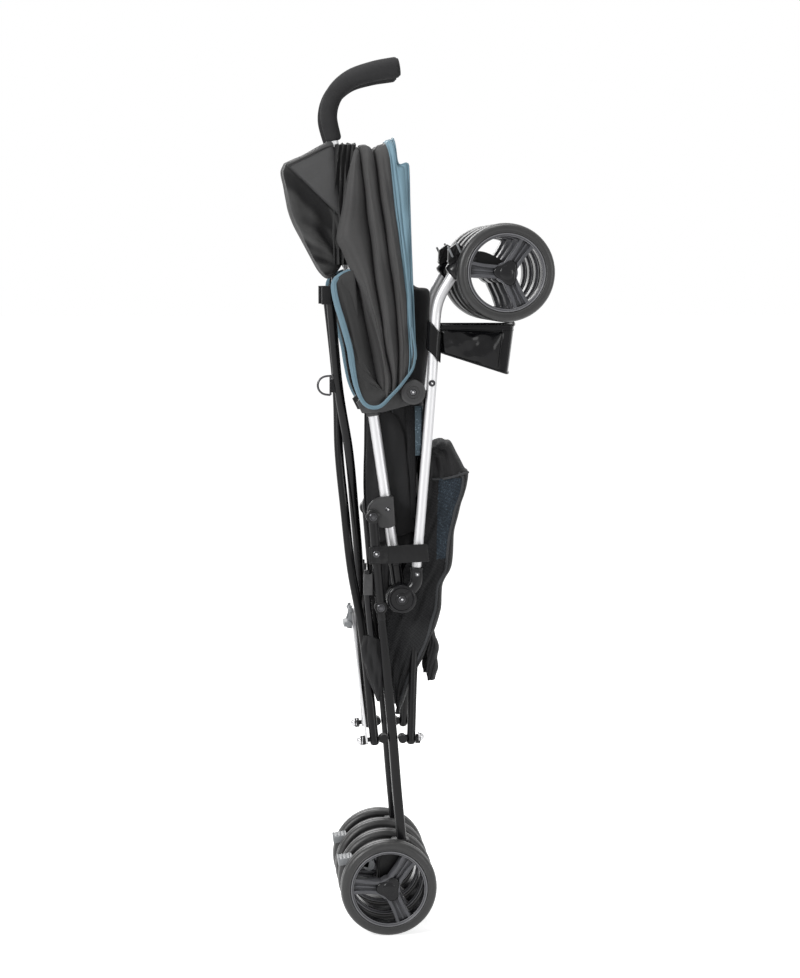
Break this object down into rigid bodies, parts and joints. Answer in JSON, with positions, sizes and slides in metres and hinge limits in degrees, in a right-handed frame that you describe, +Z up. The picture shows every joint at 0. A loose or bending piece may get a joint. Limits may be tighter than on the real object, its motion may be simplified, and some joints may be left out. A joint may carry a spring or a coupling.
{
  "type": "folded umbrella stroller",
  "caption": "Umbrella stroller folded for storage, with crook handles, hinged legs, crossing tubes, swivel casters, canopy, seat sling, basket and footrest.",
  "frame": {"origin": "centre of the bounding box on the floor, under the four rear wheels' line", "axes": "+Z up along the folded stroller; its front looks along -Y; its right side is -X"},
  "size_m": [0.194, 0.3372, 1.1188],
  "materials": {
    "tube_silver": "satin anodised tube",
    "grip_foam": "fine-grained foam",
    "black_plastic": "lightly textured moulding",
    "black_paint": "semi-gloss powder coat",
    "lever_gray": "satin moulding",
    "rim_slate": "satin slate moulding",
    "tyre_charcoal": "matt foam rubber",
    "canopy_cloth": "woven polyester with blue edging",
    "seat_cloth": "woven polyester",
    "basket_mesh": "open mesh with cloth edging",
    "footrest_vinyl": "glossy coated cloth"
  },
  "bodies": {
    "right_frame": {"right_handle_tube": "tube_silver", "right_grip": "grip_foam", "right_hub": "black_plastic", "right_leg_bracket": "black_plastic", "right_cross_clamp": "black_plastic", "right_canopy_bracket": "black_plastic", "right_canopy_half": "canopy_cloth", "right_pouch_half": "canopy_cloth", "right_seat_half": "seat_cloth"},
    "right_front_leg": {"right_front_leg_tube": "tube_silver", "right_front_elbow": "black_plastic", "right_footrest_half": "footrest_vinyl"},
    "right_caster": {"right_caster_fork": "black_plastic"},
    "right_rear_leg": {"right_rear_leg": "black_paint"},
    "right_brake": {"right_brake_lever": "lever_gray"},
    "right_rear_block": {"right_rear_block": "black_plastic"},
    "right_rear_cross": {"right_rear_cross_tube": "black_paint"},
    "right_stretcher": {"right_stretcher_bar": "tube_silver", "fold_pedal": "black_plastic"},
    "right_seat_block": {"right_seat_block": "black_plastic", "right_basket_half": "basket_mesh"},
    "right_seat_cross": {"right_seat_cross_tube": "black_paint"},
    "right_front_outer_wheel": {"right_front_outer_rim": "rim_slate", "right_front_outer_tyre": "tyre_charcoal"},
    "right_front_inner_wheel": {"right_front_inner_rim": "rim_slate", "right_front_inner_tyre": "tyre_charcoal"},
    "right_rear_outer_wheel": {"right_rear_outer_rim": "rim_slate", "right_rear_outer_tyre": "tyre_charcoal"},
    "right_rear_inner_wheel": {"right_rear_inner_rim": "rim_slate", "right_rear_inner_tyre": "tyre_charcoal"},
    "left_frame": {"left_handle_tube": "tube_silver", "left_grip": "grip_foam", "left_hub": "black_plastic", "left_leg_bracket": "black_plastic", "left_cross_clamp": "black_plastic", "left_canopy_bracket": "black_plastic", "left_canopy_half": "canopy_cloth", "left_pouch_half": "canopy_cloth", "left_seat_half": "seat_cloth"},
    "left_front_leg": {"left_front_leg_tube": "tube_silver", "left_front_elbow": "black_plastic", "left_footrest_half": "footrest_vinyl"},
    "left_caster": {"left_caster_fork": "black_plastic"},
    "left_rear_leg": {"left_rear_leg": "black_paint"},
    "left_brake": {"left_brake_lever": "lever_gray"},
    "left_rear_block": {"left_rear_block": "black_plastic"},
    "left_rear_cross": {"left_rear_cross_tube": "black_paint"},
    "left_stretcher": {"left_stretcher_bar": "tube_silver"},
    "left_seat_block": {"left_seat_block": "black_plastic", "left_basket_half": "basket_mesh"},
    "left_seat_cross": {"left_seat_cross_tube": "black_paint"},
    "left_front_outer_wheel": {"left_front_outer_rim": "rim_slate", "left_front_outer_tyre": "tyre_charcoal"},
    "left_front_inner_wheel": {"left_front_inner_rim": "rim_slate", "left_front_inner_tyre": "tyre_charcoal"},
    "left_rear_outer_wheel": {"left_rear_outer_rim": "rim_slate", "left_rear_outer_tyre": "tyre_charcoal"},
    "left_rear_inner_wheel": {"left_rear_inner_rim": "rim_slate", "left_rear_inner_tyre": "tyre_charcoal"},
    "latch": {"storage_latch": "black_plastic"}
  },
  "joints": [
    {"name": "width_fold", "type": "slide", "parent": "right_frame", "child": "left_frame", "axis": [1, 0, 0], "range_m": [0, 0.209]},
    {"name": "front_legs_fold", "type": "hinge", "parent": "right_frame", "child": "right_front_leg", "pos_m": [-0.0496, 0.021, 0.4304], "axis": [1, 0, 0], "range_deg": [0, 157.5]},
    {"name": "front_legs_spread", "type": "slide", "parent": "right_front_leg", "child": "left_front_leg", "axis": [1, 0, 0], "range_m": [0, 0.209]},
    {"name": "rear_legs_fold", "type": "hinge", "parent": "right_frame", "child": "right_rear_leg", "pos_m": [-0.056, 0.058, 0.537], "axis": [1, 0, 0], "range_deg": [0, 52.5]},
    {"name": "rear_legs_spread", "type": "slide", "parent": "right_rear_leg", "child": "left_rear_leg", "axis": [1, 0, 0], "range_m": [0, 0.209]},
    {"name": "right_rear_block_turn", "type": "hinge", "parent": "right_rear_leg", "child": "right_rear_block", "pos_m": [-0.056, 0.045, 0.2501], "axis": [1, 0, 0], "range_deg": [-26.9, 0]},
    {"name": "right_rear_cross_scissor", "type": "hinge", "parent": "right_rear_block", "child": "right_rear_cross", "pos_m": [-0.056, 0.0566, 0.249], "axis": [0, 0.9956, -0.0941], "range_deg": [0, 22.1]},
    {"name": "right_stretcher_scissor", "type": "hinge", "parent": "right_rear_block", "child": "right_stretcher", "pos_m": [-0.056, 0.0566, 0.249], "axis": [0, 0.9956, -0.0941], "range_deg": [0, 53.9]},
    {"name": "left_rear_block_turn", "type": "hinge", "parent": "left_rear_leg", "child": "left_rear_block", "pos_m": [0.056, 0.045, 0.2501], "axis": [1, 0, 0], "range_deg": [-26.9, 0]},
    {"name": "left_rear_cross_scissor", "type": "hinge", "parent": "left_rear_block", "child": "left_rear_cross", "pos_m": [0.056, 0.0566, 0.249], "axis": [0, -0.9956, 0.0941], "range_deg": [0, 22.1]},
    {"name": "left_stretcher_scissor", "type": "hinge", "parent": "left_rear_block", "child": "left_stretcher", "pos_m": [0.056, 0.0566, 0.249], "axis": [0, -0.9956, 0.0941], "range_deg": [0, 53.9]},
    {"name": "seat_blocks_turn", "type": "hinge", "parent": "right_rear_leg", "child": "right_seat_block", "pos_m": [-0.056, 0.0204, 0.24963], "axis": [1, 0, 0], "range_deg": [0, 61.6]},
    {"name": "seat_blocks_spread", "type": "slide", "parent": "right_seat_block", "child": "left_seat_block", "axis": [1, 0, 0], "range_m": [0, 0.209]},
    {"name": "right_seat_cross_scissor", "type": "hinge", "parent": "right_seat_block", "child": "right_seat_cross", "pos_m": [-0.056, 0.0091, 0.249], "axis": [0, 0.9985, 0.0554], "range_deg": [0, 29.3]},
    {"name": "left_seat_cross_scissor", "type": "hinge", "parent": "left_seat_block", "child": "left_seat_cross", "pos_m": [0.056, 0.0091, 0.249], "axis": [0, -0.9985, -0.0554], "range_deg": [0, 29.3]},
    {"name": "right_caster_swivel", "type": "hinge", "parent": "right_front_leg", "child": "right_caster", "pos_m": [-0.056, -0.056, 0.8555], "axis": [0, 0.7795, -0.6264], "range_deg": [-8, 8]},
    {"name": "right_front_outer_spin", "type": "hinge", "parent": "right_caster", "child": "right_front_outer_wheel", "pos_m": [-0.084, -0.1071, 0.8461], "axis": [1, 0, 0], "continuous": true},
    {"name": "right_front_inner_spin", "type": "hinge", "parent": "right_caster", "child": "right_front_inner_wheel", "pos_m": [-0.028, -0.1071, 0.8461], "axis": [1, 0, 0], "continuous": true},
    {"name": "right_rear_outer_spin", "type": "hinge", "parent": "right_rear_leg", "child": "right_rear_outer_wheel", "pos_m": [-0.084, 0.0405, 0.062], "axis": [1, 0, 0], "continuous": true},
    {"name": "right_rear_inner_spin", "type": "hinge", "parent": "right_rear_leg", "child": "right_rear_inner_wheel", "pos_m": [-0.028, 0.0405, 0.062], "axis": [1, 0, 0], "continuous": true},
    {"name": "right_brake_press", "type": "hinge", "parent": "right_rear_leg", "child": "right_brake", "pos_m": [-0.056, 0.064, 0.086], "axis": [1, 0, 0], "range_deg": [-20, 0]},
    {"name": "left_caster_swivel", "type": "hinge", "parent": "left_front_leg", "child": "left_caster", "pos_m": [0.056, -0.056, 0.8555], "axis": [0, 0.7795, -0.6264], "range_deg": [-8, 8]},
    {"name": "left_front_outer_spin", "type": "hinge", "parent": "left_caster", "child": "left_front_outer_wheel", "pos_m": [0.084, -0.1071, 0.8461], "axis": [1, 0, 0], "continuous": true},
    {"name": "left_front_inner_spin", "type": "hinge", "parent": "left_caster", "child": "left_front_inner_wheel", "pos_m": [0.028, -0.1071, 0.8461], "axis": [1, 0, 0], "continuous": true},
    {"name": "left_rear_outer_spin", "type": "hinge", "parent": "left_rear_leg", "child": "left_rear_outer_wheel", "pos_m": [0.084, 0.0405, 0.062], "axis": [1, 0, 0], "continuous": true},
    {"name": "left_rear_inner_spin", "type": "hinge", "parent": "left_rear_leg", "child": "left_rear_inner_wheel", "pos_m": [0.028, 0.0405, 0.062], "axis": [1, 0, 0], "continuous": true},
    {"name": "left_brake_press", "type": "hinge", "parent": "left_rear_leg", "child": "left_brake", "pos_m": [0.056, 0.064, 0.086], "axis": [1, 0, 0], "range_deg": [-20, 0]},
    {"name": "storage_latch_turn", "type": "hinge", "parent": "right_rear_leg", "child": "latch", "pos_m": [-0.064, 0.0537, 0.4877], "axis": [1, 0, 0], "range_deg": [-70, 0]}
  ],
  "couplings": [
    {"joint": "front_legs_fold", "follows": "width_fold", "rad_per_m": 13.111},
    {"joint": "front_legs_spread", "follows": "width_fold", "ratio": 1},
    {"joint": "rear_legs_fold", "follows": "width_fold", "rad_per_m": 4.3424},
    {"joint": "rear_legs_spread", "follows": "width_fold", "ratio": 1},
    {"joint": "right_rear_block_turn", "follows": "width_fold", "rad_per_m": -2.2046},
    {"joint": "right_rear_cross_scissor", "follows": "width_fold", "rad_per_m": 1.8063},
    {"joint": "right_stretcher_scissor", "follows": "width_fold", "rad_per_m": 4.456},
    {"joint": "left_rear_block_turn", "follows": "width_fold", "rad_per_m": -2.2046},
    {"joint": "left_rear_cross_scissor", "follows": "width_fold", "rad_per_m": 1.8063},
    {"joint": "left_stretcher_scissor", "follows": "width_fold", "rad_per_m": 4.456},
    {"joint": "seat_blocks_turn", "follows": "width_fold", "rad_per_m": 5.1065},
    {"joint": "seat_blocks_spread", "follows": "width_fold", "ratio": 1},
    {"joint": "right_seat_cross_scissor", "follows": "width_fold", "rad_per_m": 2.4092},
    {"joint": "left_seat_cross_scissor", "follows": "width_fold", "rad_per_m": 2.4092}
  ]
}
